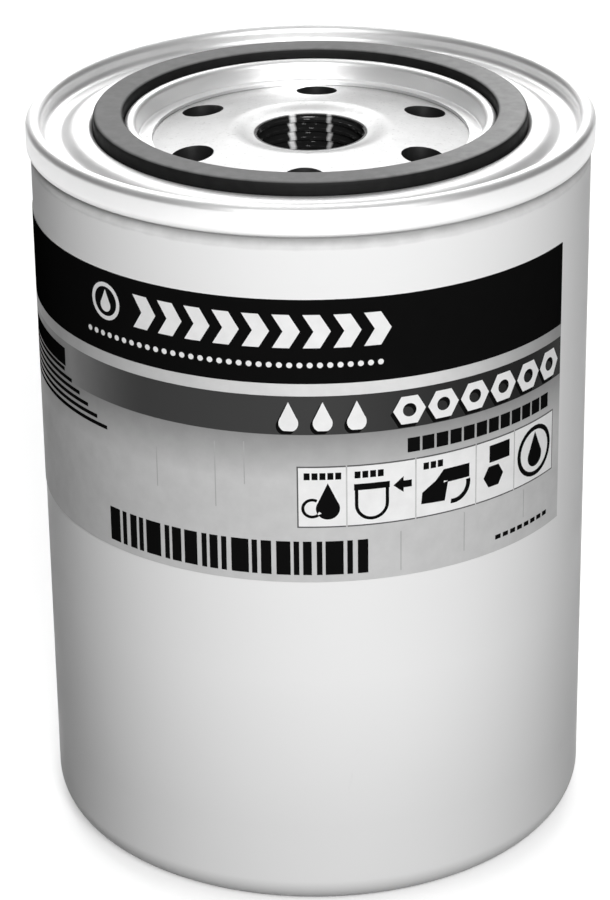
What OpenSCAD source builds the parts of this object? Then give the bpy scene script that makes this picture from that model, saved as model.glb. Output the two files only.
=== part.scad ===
// Spin-on oil filter: a drawn can closed by a rolled seam. Inside are a pleated element that
// floats on a dome spring, a drain-back valve under the tapping plate and a bypass valve.
// Millimetres, +Z up. The origin is the centre of the closed end, which stands on the floor.

/* [Can] */
// Outside diameter of the can
can_d = 93; // [92:0.1:94]
// Height from the foot to the top of the gasket
filter_h = 126.5; // [125:0.1:131]
// Thickness of the can's sheet
can_sheet = 0.45; // [0.4:0.01:0.5]
// Outside radius between the can's foot and its side
can_corner = 5.5; // [4:0.5:7]
// Outside radius of the raised panel in the closed end
foot_panel_r = 29; // [28:0.5:30]
// Radius where the flat standing ring of the foot begins
foot_ring_r = 35; // [34:0.5:37]
// Height of the raised panel above the floor
foot_rise = 1.5; // [1:0.1:1.8]

/* [Seam] */
// Height of the rolled seam
seam_h = 5; // [4.8:0.1:5.4]
// How far the seam stands out beyond the can's side
seam_proud = 0.65; // [0.5:0.05:0.8]
// Gap between the layers of sheet in the seam
seam_gap = 0.05; // [0.04:0.01:0.06]
// How far the gasket stands above the seam
gasket_proud = 0.2; // [0.2:0.1:0.8]

/* [Lid] */
// Thickness of the lid's sheet
lid_sheet = 0.5; // [0.45:0.01:0.55]
// Depth of the valley behind the seam, below the seam's top
valley_drop = 3.2; // [3:0.1:3.4]
// Depth of the land beside the gasket, below the seam's top
land_drop = 1.9; // [1.8:0.1:2.2]
// Height of the fold inside the gasket, below the seam's top
fold_drop = 1.3; // [1.2:0.1:1.6]
// Inside radius of the lid's inner ring
lid_bore_r = 26.3; // [26:0.1:26.8]

/* [Gasket] */
// Outside diameter of the gasket
gasket_od = 72; // [71.5:0.1:72.5]
// Inside diameter of the gasket
gasket_id = 62; // [61.5:0.1:62.5]
// Thickness of the gasket
gasket_h = 5.25; // [5.15:0.05:5.5]

/* [Tapping plate] */
// Thickness of the tapping plate
plate_t = 3; // [2.5:0.1:3.2]
// Outside radius of the tapping plate
plate_r = 43.5; // [42:0.5:44]
// Fall of the plate's face away from the hub, in degrees
plate_fall = 7; // [6:0.5:8]
// Diameter of the hub's bore, at the crests of its thread
bore_d = 17.5; // [17.3:0.05:17.65]
// Outside diameter of the hub
hub_d = 23.6; // [23:0.1:24]
// Length of the hub
hub_len = 11.6; // [11:0.1:12]
// Number of oil inlets
inlet_count = 6; // [4:1:8]
// Diameter of an oil inlet
inlet_d = 6.8; // [6:0.1:7.2]
// Diameter of the circle that the inlets stand on
inlet_pcd = 43.5; // [42.5:0.1:44]

/* [Element] */
// Number of pleats
pleats = 50; // [40:1:52]
// Thickness of the filter paper
paper_t = 0.6; // [0.5:0.05:0.65]
// Outside radius of the pleats
pleat_r_out = 37.2; // [36:0.1:37.4]
// Inside radius of the pleats
pleat_r_in = 17.3; // [17.2:0.1:18]
// Outside radius of the centre tube
tube_r = 16.5; // [16.3:0.1:16.6]
// Height of the element over its end caps
element_h = 93.5; // [92:0.5:94]
// Outside radius of the end caps
cap_r = 38.5; // [38.4:0.1:39]
// Depth of the end caps' skirts
cap_skirt = 4; // [3:0.5:5]
// Rows of holes in the centre tube
tube_rows = 9; // [6:1:10]
// Holes round each row
tube_holes = 8; // [6:2:8]

/* [Valves] */
// Thickness of the drain-back valve's skirt
flap_t = 1.1; // [0.9:0.1:1.3]
// Radius at which the skirt's lip seals
flap_lip_r = 27; // [26.5:0.1:27.5]
// Radius of the bypass port
port_r = 7.5; // [7:0.1:8]
// Height of the bypass valve's cage
cage_h = 17; // [16:0.5:18]

/* [Springs] */
// Wire diameter of the dome spring
dome_wire = 2.2; // [2:0.1:2.4]
// Largest coil radius of the dome spring
dome_r_low = 26; // [25:0.5:26.5]
// Smallest coil radius of the dome spring
dome_r_high = 15; // [14:0.5:16]
// Turns of the dome spring
dome_turns = 3.5; // [3:0.5:4]
// Wire diameter of the bypass spring
bypass_wire = 0.9; // [0.8:0.1:1]
// Coil radius of the bypass spring
bypass_coil_r = 5.6; // [5.5:0.1:5.8]
// Turns of the bypass spring
bypass_turns = 6; // [5:1:7]

/* [Label] */
// Height of the label's lower edge
label_low = 62; // [55:1:65]
// Height of the label's upper edge
label_high = 111; // [105:1:114]
// How far round the can the label goes, in degrees
label_angle = 260; // [200:5:300]
// Right-hand end of the label, in degrees to the right of the front
label_end = 60; // [40:5:80]

/* [Hidden] */
$fn = 96;
touch = 0.05; // between faces that rest on each other
can_r = can_d / 2;
front = -90; // direction of the front of the filter, from +X
film_t = 0.1; // thickness of the label's film

// The seam's layers, from the outside in: panel, can hook, lid hook, can wall, chuck wall
panel_out = can_r + seam_proud;
panel_in = panel_out - lid_sheet;
can_hook_out = panel_in - seam_gap;
can_hook_in = can_hook_out - can_sheet;
lid_hook_out = can_hook_in - seam_gap;
lid_hook_in = lid_hook_out - lid_sheet;
wall_out = lid_hook_in - seam_gap;
wall_in = wall_out - can_sheet;
chuck_out = wall_in - seam_gap;
seam_top = filter_h - gasket_proud;
seam_low = seam_top - seam_h;
over_r = (panel_in + chuck_out) / 2; // middle of the seam's rounded top
over_in = (panel_in - chuck_out) / 2;
over_z = seam_top - over_in - lid_sheet;
curl_r = (panel_in + lid_hook_out) / 2; // middle of the lid's curl under the can's hook
curl_in = (panel_in - lid_hook_out) / 2;
curl_z = seam_low + curl_in + lid_sheet;
hook_in = (can_hook_in - wall_out) / 2; // inside the can's hook
hook_clear = 0.25; // end of each hook to the middle of the bend that it lies in
neck_h = 2; // height over which the can narrows below the seam

// The lid and the tapping plate
groove_out = gasket_od / 2 + 2 * touch;
groove_in = gasket_id / 2 - 2 * touch;
groove_z = filter_h - gasket_h - touch;
plate_flat = groove_z - lid_sheet - touch;
crest_r = 13.4;
crest_rise = 2.35; // the crest round the hub above the plate's flat rim
crest_z = plate_flat + crest_rise;
hub_top = crest_z - 0.9;
hub_low = hub_top - hub_len;
bore_r = bore_d / 2;
hub_r = hub_d / 2;
bore_chamfer = 0.3;
slope_end = 29.2; // radius where the plate's sloping face ends
flat_start = 30.2; // radius where the plate's flat rim begins
inlet_turn = -3; // first inlet, in degrees to the right of the front
fold_lean = 5.5; // lean of the lid's fold, in degrees

// The element, from the top down
cap_t = 0.4;
cap_round = 0.8;
cap_top = hub_low + 1;
cap_low = cap_top - element_h;
cap_hole_r = hub_r + 1.6;
cap_collar = 3;
pot_t = 2;
pot_r_in = tube_r + 0.1;
pot_r_out = cap_r - cap_t - 0.1;
tube_t = 0.5;
tube_hole_d = 5;
paper_end = 1; // depth of the paper's ends in the potting
fold_out = 0.75; // half the width of a pleat's outer fold, on the paper's middle line
fold_in = 0.45; // the same for an inner fold
joint_half = 0.62; // half the width of the pleat whose two ends the clip joins
clip_t = 0.4;
clip_half = 0.85; // half the clip's inside width
clip_depth = 5.7; // how far the clip reaches in from the paper's outer folds
clip_in = pleat_r_out - clip_depth;
clip_turn = 35;

// The bypass valve stands on the lower end cap, inside the centre tube
seat_t = 0.5;
seat_r = tube_r - tube_t - 0.4;
seat_z = cap_low + cap_t + touch;
seat_top = seat_z + seat_t;
seal_t = 0.8;
seal_r = port_r + 2.3;
seal_r_in = port_r - 1.5;
poppet_t = 0.5;
poppet_r = seal_r + 0.6;
poppet_z = seat_top + touch + seal_t + touch;
cage_r = 12.5;
cage_t = 0.5;
cage_z = seat_top + touch;
cage_top = cage_z + cage_h;
cage_legs = 3;

// The drain-back valve
collar_r_in = hub_r + 0.1;
collar_r_out = 15.2;
collar_low = cap_top - 2.5;
collar_top = cap_top + 3.4;
flap_r_in = collar_r_out + 0.3;
flap_low = cap_top + 1.95;
lip_bead = 0.75;
lip_gap = 0.15;

// The plate's upper face at a radius
function plate_z(r) = crest_z - (r - crest_r) * tan(plate_fall);

lip_z = plate_z(flap_lip_r) - plate_t - lip_gap - lip_bead / cos(plate_fall);

// Points along an arc
function arc(c, r, a1, a2, n = 8) =
    [for (i = [0:n]) let (a = a1 + (a2 - a1) * i / n) c + r * [cos(a), sin(a)]];

// Points from p to q whose height eases in and out
function ease_z(p, q, n = 8) =
    [for (i = [0:n]) [p.x + (q.x - p.x) * i / n, p.y + (q.y - p.y) * (1 - cos(180 * i / n)) / 2]];

// Points from p to q whose radius eases in and out
function ease_r(p, q, n = 8) =
    [for (i = [0:n]) [p.x + (q.x - p.x) * (1 - cos(180 * i / n)) / 2, p.y + (q.y - p.y) * i / n]];

// Outline of sheet metal: a line of points, and the same line moved t to its left
function left_of(line, i) =
    let (d = line[min(i + 1, len(line) - 1)] - line[max(i - 1, 0)]) [-d.y, d.x] / norm(d);
function sheet(line, t) =
    concat(line, [for (i = [len(line) - 1:-1:0]) line[i] + t * left_of(line, i)]);

// A ring turned from an outline of [radius, height] points
module turned(outline) {
    rotate_extrude() polygon(outline);
}

// A round wire wound on a coil. line gives the coil's [radius, height] at even steps of turn.
module coil(line, turns, wire, sides = 10) {
    n = len(line) - 1;
    middle = [for (i = [0:n]) let (a = 360 * turns * i / n)
        [line[i].x * cos(a), line[i].x * sin(a), line[i].y]];
    points = [for (i = [0:n], k = [0:sides - 1])
        let (a = 360 * turns * i / n,
             along = middle[min(i + 1, n)] - middle[max(i - 1, 0)],
             out = [cos(a), sin(a), 0],
             up = cross(along, out) / norm(cross(along, out)))
        middle[i] + wire / 2 * (cos(360 * k / sides) * out + sin(360 * k / sides) * up)];
    walls = [for (i = [0:n - 1], k = [0:sides - 1])
        let (m = (k + 1) % sides)
        [i * sides + k, i * sides + m, (i + 1) * sides + m, (i + 1) * sides + k]];
    ends = [[for (k = [sides - 1:-1:0]) k], [for (k = [0:sides - 1]) n * sides + k]];
    polyhedron(points, concat(walls, ends), convexity = 10);
}

module canister() {
    color("white")
    turned(sheet(concat(
        [[0, foot_rise]],
        ease_z([foot_panel_r, foot_rise], [foot_ring_r, 0]),
        arc([can_r - can_corner, can_corner], can_corner, -90, 0, 12),
        ease_r([can_r, seam_low - neck_h], [wall_out, seam_low - touch]),
        arc([over_r, over_z], hook_in, 180, 0),
        [[can_hook_in, curl_z + hook_clear]]), can_sheet));
}

module label_wrap() {
    color("dimgray")
    rotate([0, 0, front + label_end - label_angle])
    rotate_extrude(angle = label_angle)
    translate([can_r + touch / 2, label_low])
    square([film_t, label_high - label_low]);
}

module seaming_lid() {
    chuck_round = 1.8;
    land_round = 0.4;
    floor_round = 0.9;
    fold_round = 0.5;
    ring_round = 0.8;
    valley_r = chuck_out - 3.4; // where the valley begins to rise
    valley_z = seam_top - valley_drop - lid_sheet;
    land_r = groove_out + 2.6; // where the land begins
    land_z = seam_top - land_drop - lid_sheet;
    floor_z = groove_z - lid_sheet;
    fold_z = seam_top - fold_drop - lid_sheet - fold_round;
    ring_r = slope_end - ring_round;
    color("gainsboro")
    turned(sheet(concat(
        [[lid_hook_out, over_z - hook_clear]],
        arc([curl_r, curl_z], curl_in, 180, 360),
        arc([over_r, over_z], over_in, 0, 180, 12),
        arc([chuck_out - chuck_round, valley_z + chuck_round], chuck_round, 0, -90),
        ease_z([valley_r, valley_z], [land_r, land_z]),
        arc([groove_out + lid_sheet + land_round, land_z - land_round], land_round, 90, 180),
        arc([groove_out + lid_sheet - floor_round, floor_z + floor_round], floor_round, 0, -90),
        arc([groove_in - lid_sheet + floor_round, floor_z + floor_round], floor_round, -90, -180),
        arc([groove_in - lid_sheet - fold_round, fold_z], fold_round, 0, 180 - fold_lean, 12),
        arc([ring_r, plate_z(ring_r) + ring_round + touch], ring_round, -fold_lean,
            -90 - plate_fall),
        [[lid_bore_r, plate_z(lid_bore_r) + touch]]), -lid_sheet));
}

module seam_compound() {
    bead_r = hook_in - 2 * touch;
    color("slategray")
    rotate_extrude()
    translate([over_r, over_z])
    circle(bead_r);
}

module tapping_plate() {
    edge_round = 0.8;
    hub_round = 2;
    under_z = plate_z(hub_r + hub_round) - plate_t;
    color("lightgray")
    difference() {
        turned(concat(
            [[bore_r, hub_low + bore_chamfer], [bore_r, hub_top - bore_chamfer]],
            ease_z([bore_r + bore_chamfer, hub_top], [crest_r, crest_z]),
            ease_z([slope_end, plate_z(slope_end)], [flat_start, plate_flat]),
            arc([plate_r - edge_round, plate_flat - edge_round], edge_round, 90, 0),
            arc([plate_r - edge_round, plate_flat - plate_t + edge_round], edge_round, 0, -90),
            ease_z([flat_start, plate_flat - plate_t], [slope_end, plate_z(slope_end) - plate_t]),
            arc([hub_r + hub_round, under_z - hub_round], hub_round, 90, 180),
            [[hub_r, hub_low + bore_chamfer], [hub_r - bore_chamfer, hub_low],
             [bore_r + bore_chamfer, hub_low]]));
        for (k = [0:inlet_count - 1])
            rotate([0, 0, front + inlet_turn + 360 * k / inlet_count])
            translate([inlet_pcd / 2, 0, hub_low])
            cylinder(d = inlet_d, h = crest_z - hub_low);
    }
}

module gasket() {
    r_in = gasket_id / 2;
    r_out = gasket_od / 2;
    low = filter_h - gasket_h;
    edge = 0.45;
    foot = 0.8; // clears the groove's round corners
    color("dimgray")
    turned([[r_in + foot, low], [r_out - foot, low], [r_out, low + foot],
            [r_out, filter_h - edge], [r_out - edge, filter_h], [r_in + edge, filter_h],
            [r_in, filter_h - edge], [r_in, low + foot]]);
}

module drainback_valve_collar() {
    lead = 0.6;
    lip_r = cap_hole_r - 0.3;
    top_round = 1;
    color("black")
    turned(concat(
        [[collar_r_in, collar_low], [lip_r - lead, collar_low], [lip_r, collar_low + lead],
         [lip_r, cap_top + touch], [collar_r_out, cap_top + touch]],
        arc([collar_r_out - top_round, collar_top - top_round], top_round, 0, 90),
        [[collar_r_in, collar_top]]));
}

module drainback_valve_flap() {
    color("black")
    rotate_extrude() {
        polygon([[flap_r_in, flap_low], [flap_lip_r, lip_z - flap_t / 2],
                 [flap_lip_r, lip_z + flap_t / 2], [flap_r_in, flap_low + flap_t]]);
        translate([flap_lip_r, lip_z]) circle(lip_bead);
    }
}

module top_end_cap() {
    color("goldenrod")
    turned(sheet(concat(
        [[cap_hole_r, cap_top - cap_collar]],
        arc([cap_hole_r + cap_round, cap_top - cap_round], cap_round, 180, 90),
        arc([cap_r - cap_round, cap_top - cap_round], cap_round, 90, 0),
        [[cap_r, cap_top - cap_skirt]]), -cap_t));
}

module bottom_end_cap() {
    hole_r = 11;
    color("goldenrod")
    turned(sheet(concat(
        [[hole_r, cap_low]],
        arc([cap_r - cap_round, cap_low + cap_round], cap_round, -90, 0),
        [[cap_r, cap_low + cap_skirt]]), cap_t));
}

// A pleated loop's outline: r_tip and r_root are the radii of its folds, and tip_half and
// root_half are half the width of each fold. The first pleat's tip may be narrower.
module pleat_outline(r_tip, r_root, tip_half, root_half, joint) {
    step = 360 / pleats;
    polygon([for (k = [0:pleats - 1])
        let (half = k == 0 ? joint : tip_half,
             tip = half / r_tip * 180 / PI,
             root = root_half / r_root * 180 / PI)
        each [for (p = [[r_tip, -tip], [r_tip, tip], [r_root, step / 2 - root],
                        [r_root, step / 2 + root]])
            p.x * [cos(k * step + p.y), sin(k * step + p.y)]]]);
}

module paper(low, high) {
    half = paper_t / 2;
    rotate([0, 0, clip_turn])
    translate([0, 0, low])
    linear_extrude(high - low)
    difference() {
        pleat_outline(pleat_r_out, pleat_r_in + paper_t, fold_out + half, fold_in - half,
            joint_half);
        pleat_outline(pleat_r_out - paper_t, pleat_r_in, fold_out - half, fold_in + half,
            joint_half - half);
    }
}

module pleated_media() {
    color("wheat")
    paper(cap_low + cap_t + pot_t - paper_end, cap_top - cap_t - pot_t + paper_end);
}

// A ring of potting in an end cap, with the paper's ends set in it
module potting() {
    ease = 0.5; // clears the cap's round corner
    difference() {
        turned([[pot_r_in, touch], [pot_r_out - ease, touch], [pot_r_out, touch + ease],
                [pot_r_out, pot_t], [pot_r_in, pot_t]]);
        paper(pot_t - paper_end, pot_t + paper_end);
    }
}

module top_potting() {
    color("maroon")
    translate([0, 0, cap_top - cap_t])
    mirror([0, 0, 1])
    potting();
}

module bottom_potting() {
    color("maroon")
    translate([0, 0, cap_low + cap_t])
    potting();
}

module media_seam_clip() {
    crown = pleat_r_out + 0.15;
    low = cap_low + cap_t + pot_t + touch;
    high = cap_top - cap_t - pot_t - touch;
    color("silver")
    rotate([0, 0, clip_turn])
    translate([0, 0, low])
    linear_extrude(high - low)
    difference() {
        translate([clip_in, -clip_half - clip_t])
        square([crown + clip_t - clip_in, 2 * (clip_half + clip_t)]);
        translate([clip_in - clip_t, -clip_half])
        square([crown + clip_t - clip_in, 2 * clip_half]);
    }
}

module center_tube() {
    low = cap_low + cap_t + touch;
    high = cap_top - cap_t - touch;
    margin = 11; // from each end to the first row of holes
    pitch = (high - low - 2 * margin) / (tube_rows - 1);
    color("silver")
    difference() {
        translate([0, 0, low]) cylinder(r = tube_r, h = high - low);
        translate([0, 0, low - 1]) cylinder(r = tube_r - tube_t, h = high - low + 2);
        for (row = [0:tube_rows - 1], k = [0:tube_holes / 2 - 1])
            translate([0, 0, low + margin + row * pitch])
            rotate([90, 0, (k + row % 2 / 2) * 360 / tube_holes])
            cylinder(d = tube_hole_d, h = 2 * tube_r + 2, center = true);
    }
}

module bypass_seat() {
    rim = 0.6;
    rim_h = 2;
    color("darkgray")
    turned(sheet(concat(
        [[port_r, seat_z]],
        arc([seat_r - rim, seat_z + rim], rim, -90, 0),
        [[seat_r, seat_z + rim_h]]), seat_t));
}

module bypass_seal() {
    color("black")
    turned([[seal_r_in, seat_top + touch], [seal_r, seat_top + touch],
            [seal_r, seat_top + touch + seal_t], [seal_r_in, seat_top + touch + seal_t]]);
}

module bypass_poppet() {
    boss_r = bypass_coil_r - bypass_wire / 2 - 0.4;
    boss_h = 2.2;
    bend = 0.6;
    foot = 0.3; // bend at the boss's foot, which the spring stands clear of
    rim_drop = 0.4;
    top = poppet_z + poppet_t;
    color("silver")
    turned(sheet(concat(
        [[0, top + boss_h]],
        arc([boss_r - foot - bend, top + boss_h - bend], bend, 90, 0),
        arc([boss_r, top + foot], foot, 180, 270),
        arc([poppet_r - bend, top - bend], bend, 90, 0),
        [[poppet_r, poppet_z - rim_drop]]), -poppet_t));
}

module bypass_spring() {
    clear = 0.08;
    low = poppet_z + poppet_t + bypass_wire / 2 + clear;
    high = cage_top - cage_t - bypass_wire / 2 - clear;
    turn_steps = 20;
    end_pitch = bypass_wire + 0.15; // rise of the closed turn at each end
    middle_pitch = (high - low - 2 * end_pitch) / (bypass_turns - 2);
    color("silver")
    coil([for (i = [0:bypass_turns * turn_steps]) let (t = i / turn_steps)
        [bypass_coil_r, low + (t < 1 ? t * end_pitch
            : t > bypass_turns - 1 ? high - low - (bypass_turns - t) * end_pitch
            : end_pitch + (t - 1) * middle_pitch)]],
        bypass_turns, bypass_wire, 8);
}

// A stamped bell with a flange, cut by one window between each pair of legs
module bypass_retainer() {
    flange_r = seat_r - seat_t - 0.1;
    guide_r = 3.2;
    bend = 0.7;
    window_w = 16;
    window_low = 1.2; // from the flange to the windows
    window_high = 2; // from the windows to the top
    color("darkgray")
    difference() {
        turned(concat(
            [[cage_r - cage_t, cage_z], [flange_r, cage_z], [flange_r, cage_z + cage_t],
             [cage_r, cage_z + cage_t]],
            arc([cage_r - bend, cage_top - bend], bend, 0, 90),
            [[guide_r, cage_top], [guide_r, cage_top - cage_t],
             [cage_r - cage_t, cage_top - cage_t]]));
        for (k = [0:cage_legs - 1])
            rotate([0, 0, 360 * k / cage_legs])
            translate([0, -window_w / 2, cage_z + window_low])
            cube([cage_r + 1, window_w, cage_h - window_low - window_high]);
    }
}

module element_spring() {
    low = foot_rise + can_sheet + dome_wire / 2 + touch;
    high = cap_low - dome_wire / 2 - touch;
    steps = dome_turns * 24; // steps of turn in the whole coil
    flat = 0.18; // share of the spring that lies flat at each end
    color("gray")
    coil([for (i = [0:steps])
        let (u = i / steps, v = min(max((u - flat) / (1 - 2 * flat), 0), 1))
        [dome_r_low + (dome_r_high - dome_r_low) * u, low + (high - low) * v]],
        dome_turns, dome_wire);
}

canister();
label_wrap();
seaming_lid();
seam_compound();
tapping_plate();
gasket();
drainback_valve_collar();
drainback_valve_flap();
top_end_cap();
top_potting();
pleated_media();
media_seam_clip();
center_tube();
bottom_potting();
bottom_end_cap();
bypass_seat();
bypass_seal();
bypass_poppet();
bypass_spring();
bypass_retainer();
element_spring();
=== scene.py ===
"""Spin-on oil filter: the looks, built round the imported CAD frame.

Blender works in metres. Profiles are written in millimetres as (radius, height) and turned
about the filter's axis. The label is drawn flat, in millimetres round the can and up it,
and then wrapped on.
"""

import math

import bmesh
import bpy
from mathutils import Matrix, Vector


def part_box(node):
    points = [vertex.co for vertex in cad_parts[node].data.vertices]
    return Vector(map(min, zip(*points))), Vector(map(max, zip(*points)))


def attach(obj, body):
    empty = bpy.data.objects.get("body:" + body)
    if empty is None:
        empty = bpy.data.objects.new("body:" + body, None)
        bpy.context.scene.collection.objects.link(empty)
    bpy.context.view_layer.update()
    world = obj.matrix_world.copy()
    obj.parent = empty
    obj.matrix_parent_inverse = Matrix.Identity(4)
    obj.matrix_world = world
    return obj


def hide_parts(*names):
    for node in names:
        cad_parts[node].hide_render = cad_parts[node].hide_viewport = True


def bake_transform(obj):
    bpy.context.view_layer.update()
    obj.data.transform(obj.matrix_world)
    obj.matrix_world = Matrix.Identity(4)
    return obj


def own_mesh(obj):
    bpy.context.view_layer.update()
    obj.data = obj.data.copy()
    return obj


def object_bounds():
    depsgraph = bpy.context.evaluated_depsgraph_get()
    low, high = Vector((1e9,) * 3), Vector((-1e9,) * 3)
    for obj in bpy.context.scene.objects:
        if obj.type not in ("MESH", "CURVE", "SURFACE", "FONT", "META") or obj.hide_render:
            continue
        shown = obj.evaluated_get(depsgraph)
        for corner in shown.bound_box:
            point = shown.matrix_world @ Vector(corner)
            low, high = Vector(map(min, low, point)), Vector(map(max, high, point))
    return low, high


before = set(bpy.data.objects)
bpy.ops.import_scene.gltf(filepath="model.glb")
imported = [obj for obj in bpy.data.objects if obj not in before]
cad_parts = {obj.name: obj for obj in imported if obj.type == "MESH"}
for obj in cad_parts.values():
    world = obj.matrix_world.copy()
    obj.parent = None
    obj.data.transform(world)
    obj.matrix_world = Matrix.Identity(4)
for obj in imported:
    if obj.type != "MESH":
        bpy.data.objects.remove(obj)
cad_low, cad_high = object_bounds()

MM = 0.001


def top_of(node):
    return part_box(node)[1].z / MM


def foot_of(node):
    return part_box(node)[0].z / MM


# ---------------------------------------------------------------- driving dimensions, mm
CAN_R = 46.5
CAN_SHEET = 0.45
CAN_CORNER = 5.5
FOOT_RISE = 1.5
SEAM_PROUD = 0.65
SEAM_GAP = 0.05
SEAM_TOP = top_of("seaming_lid")
SEAM_LOW = SEAM_TOP - 5.0
LID_SHEET = 0.5
GASKET_IN, GASKET_OUT = 31.0, 36.0
GASKET_TOP = top_of("gasket")
GASKET_LOW = foot_of("gasket")
TOUCH = 0.05  # air left between pieces that touch
PLATE_T = 3.0
PLATE_R = 43.5
PLATE_FALL = math.radians(7)
BORE_R = 8.75
MOUTH = 0.3
CREST_R = 13.4
INLETS = 6
INLET_R = 3.4
INLET_CIRCLE = 21.75


# ---------------------------------------------------------------- camera, light and stage
def make_camera():
    """The viewing angle: in front, above, looking down at the filter's middle."""
    pitch, yaw, roll = (math.radians(a) for a in (24.82, 0.18, -0.77))
    ahead = Vector((-math.sin(yaw) * math.cos(pitch), math.cos(yaw) * math.cos(pitch),
                    -math.sin(pitch)))
    level = Vector((math.cos(yaw), math.sin(yaw), 0))
    over = level.cross(ahead)
    right = math.cos(roll) * level + math.sin(roll) * over
    up = math.cos(roll) * over - math.sin(roll) * level
    data = bpy.data.cameras.new("camera")
    data.lens = 132.5
    data.sensor_width = 36
    data.clip_start, data.clip_end = 0.05, 20
    camera = bpy.data.objects.new("camera", data)
    camera.matrix_world = Matrix.Translation((0, -0.5213, 0.305)) @ Matrix(
        (right, up, -ahead)).transposed().to_4x4()
    bpy.context.scene.collection.objects.link(camera)
    bpy.context.scene.camera = camera


def softbox(name, place, size, power):
    """A soft light aimed at the filter. It lights and is mirrored, but isn't seen itself."""
    data = bpy.data.lights.new(name, "AREA")
    data.shape = "RECTANGLE"
    data.size, data.size_y = size
    data.energy = power
    lamp = bpy.data.objects.new(name, data)
    lamp.location = place
    aim = Vector((0, 0, 0.08)) - Vector(place)
    lamp.rotation_euler = aim.to_track_quat("-Z", "Y").to_euler()
    lamp.visible_camera = False
    bpy.context.scene.collection.objects.link(lamp)


def make_sky():
    """Dim all round and brighter overhead."""
    world = bpy.data.worlds.new("studio")
    world.use_nodes = True
    nodes, links = world.node_tree.nodes, world.node_tree.links
    ramp = nodes.new("ShaderNodeValToRGB")
    split = nodes.new("ShaderNodeSeparateXYZ")
    links.new(nodes.new("ShaderNodeTexCoord").outputs["Generated"], split.inputs[0])
    links.new(split.outputs[2], ramp.inputs[0])
    stops = ((0.0, 0.02), (0.5, 0.02), (0.8, 0.25), (1.0, 0.25))
    while len(ramp.color_ramp.elements) < len(stops):
        ramp.color_ramp.elements.new(1)
    for element, (place, shade) in zip(ramp.color_ramp.elements, stops):
        element.position, element.color = place, (shade, shade, shade, 1)
    links.new(ramp.outputs["Color"], nodes["Background"].inputs["Color"])
    bpy.context.scene.world = world


def make_stage():
    """Pale floor and soft studio light: two keys in front, two panels behind, two strips above."""
    make_sky()
    bpy.context.scene.view_settings.view_transform = "Standard"
    softbox("key_low", (0.14, -1.05, 0.36), (0.45, 0.45), 4.1)
    softbox("key_high", (0.1, -0.9, 0.62), (0.4, 0.4), 8.4)
    softbox("back_low", (0, 1.1, 0.25), (1.3, 0.5), 3)
    softbox("back_high", (0, 1.0, 0.9), (1.0, 0.6), 6)
    softbox("strip_left", (-0.27, 0.29, 1.02), (0.14, 0.7), 1.1)
    softbox("strip_right", (0.27, 0.29, 1.02), (0.14, 0.7), 0.35)

    bpy.ops.mesh.primitive_plane_add(size=12, location=(0, 0, cad_low.z - 0.00005))
    floor = bpy.context.object
    floor.name = "floor"
    pale = Surface("floor_pale", (0.93, 0.93, 0.93), 0.7, emission_color=(1, 1, 1, 1),
                   emission_strength=0.3)
    grain = pale.noise(30, 3, 0.5)
    pale.colour(pale.ramp(grain, (0.3, 0.92), (0.7, 0.94)))
    floor.data.materials.append(pale.material)
    floor.visible_diffuse = False


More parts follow.
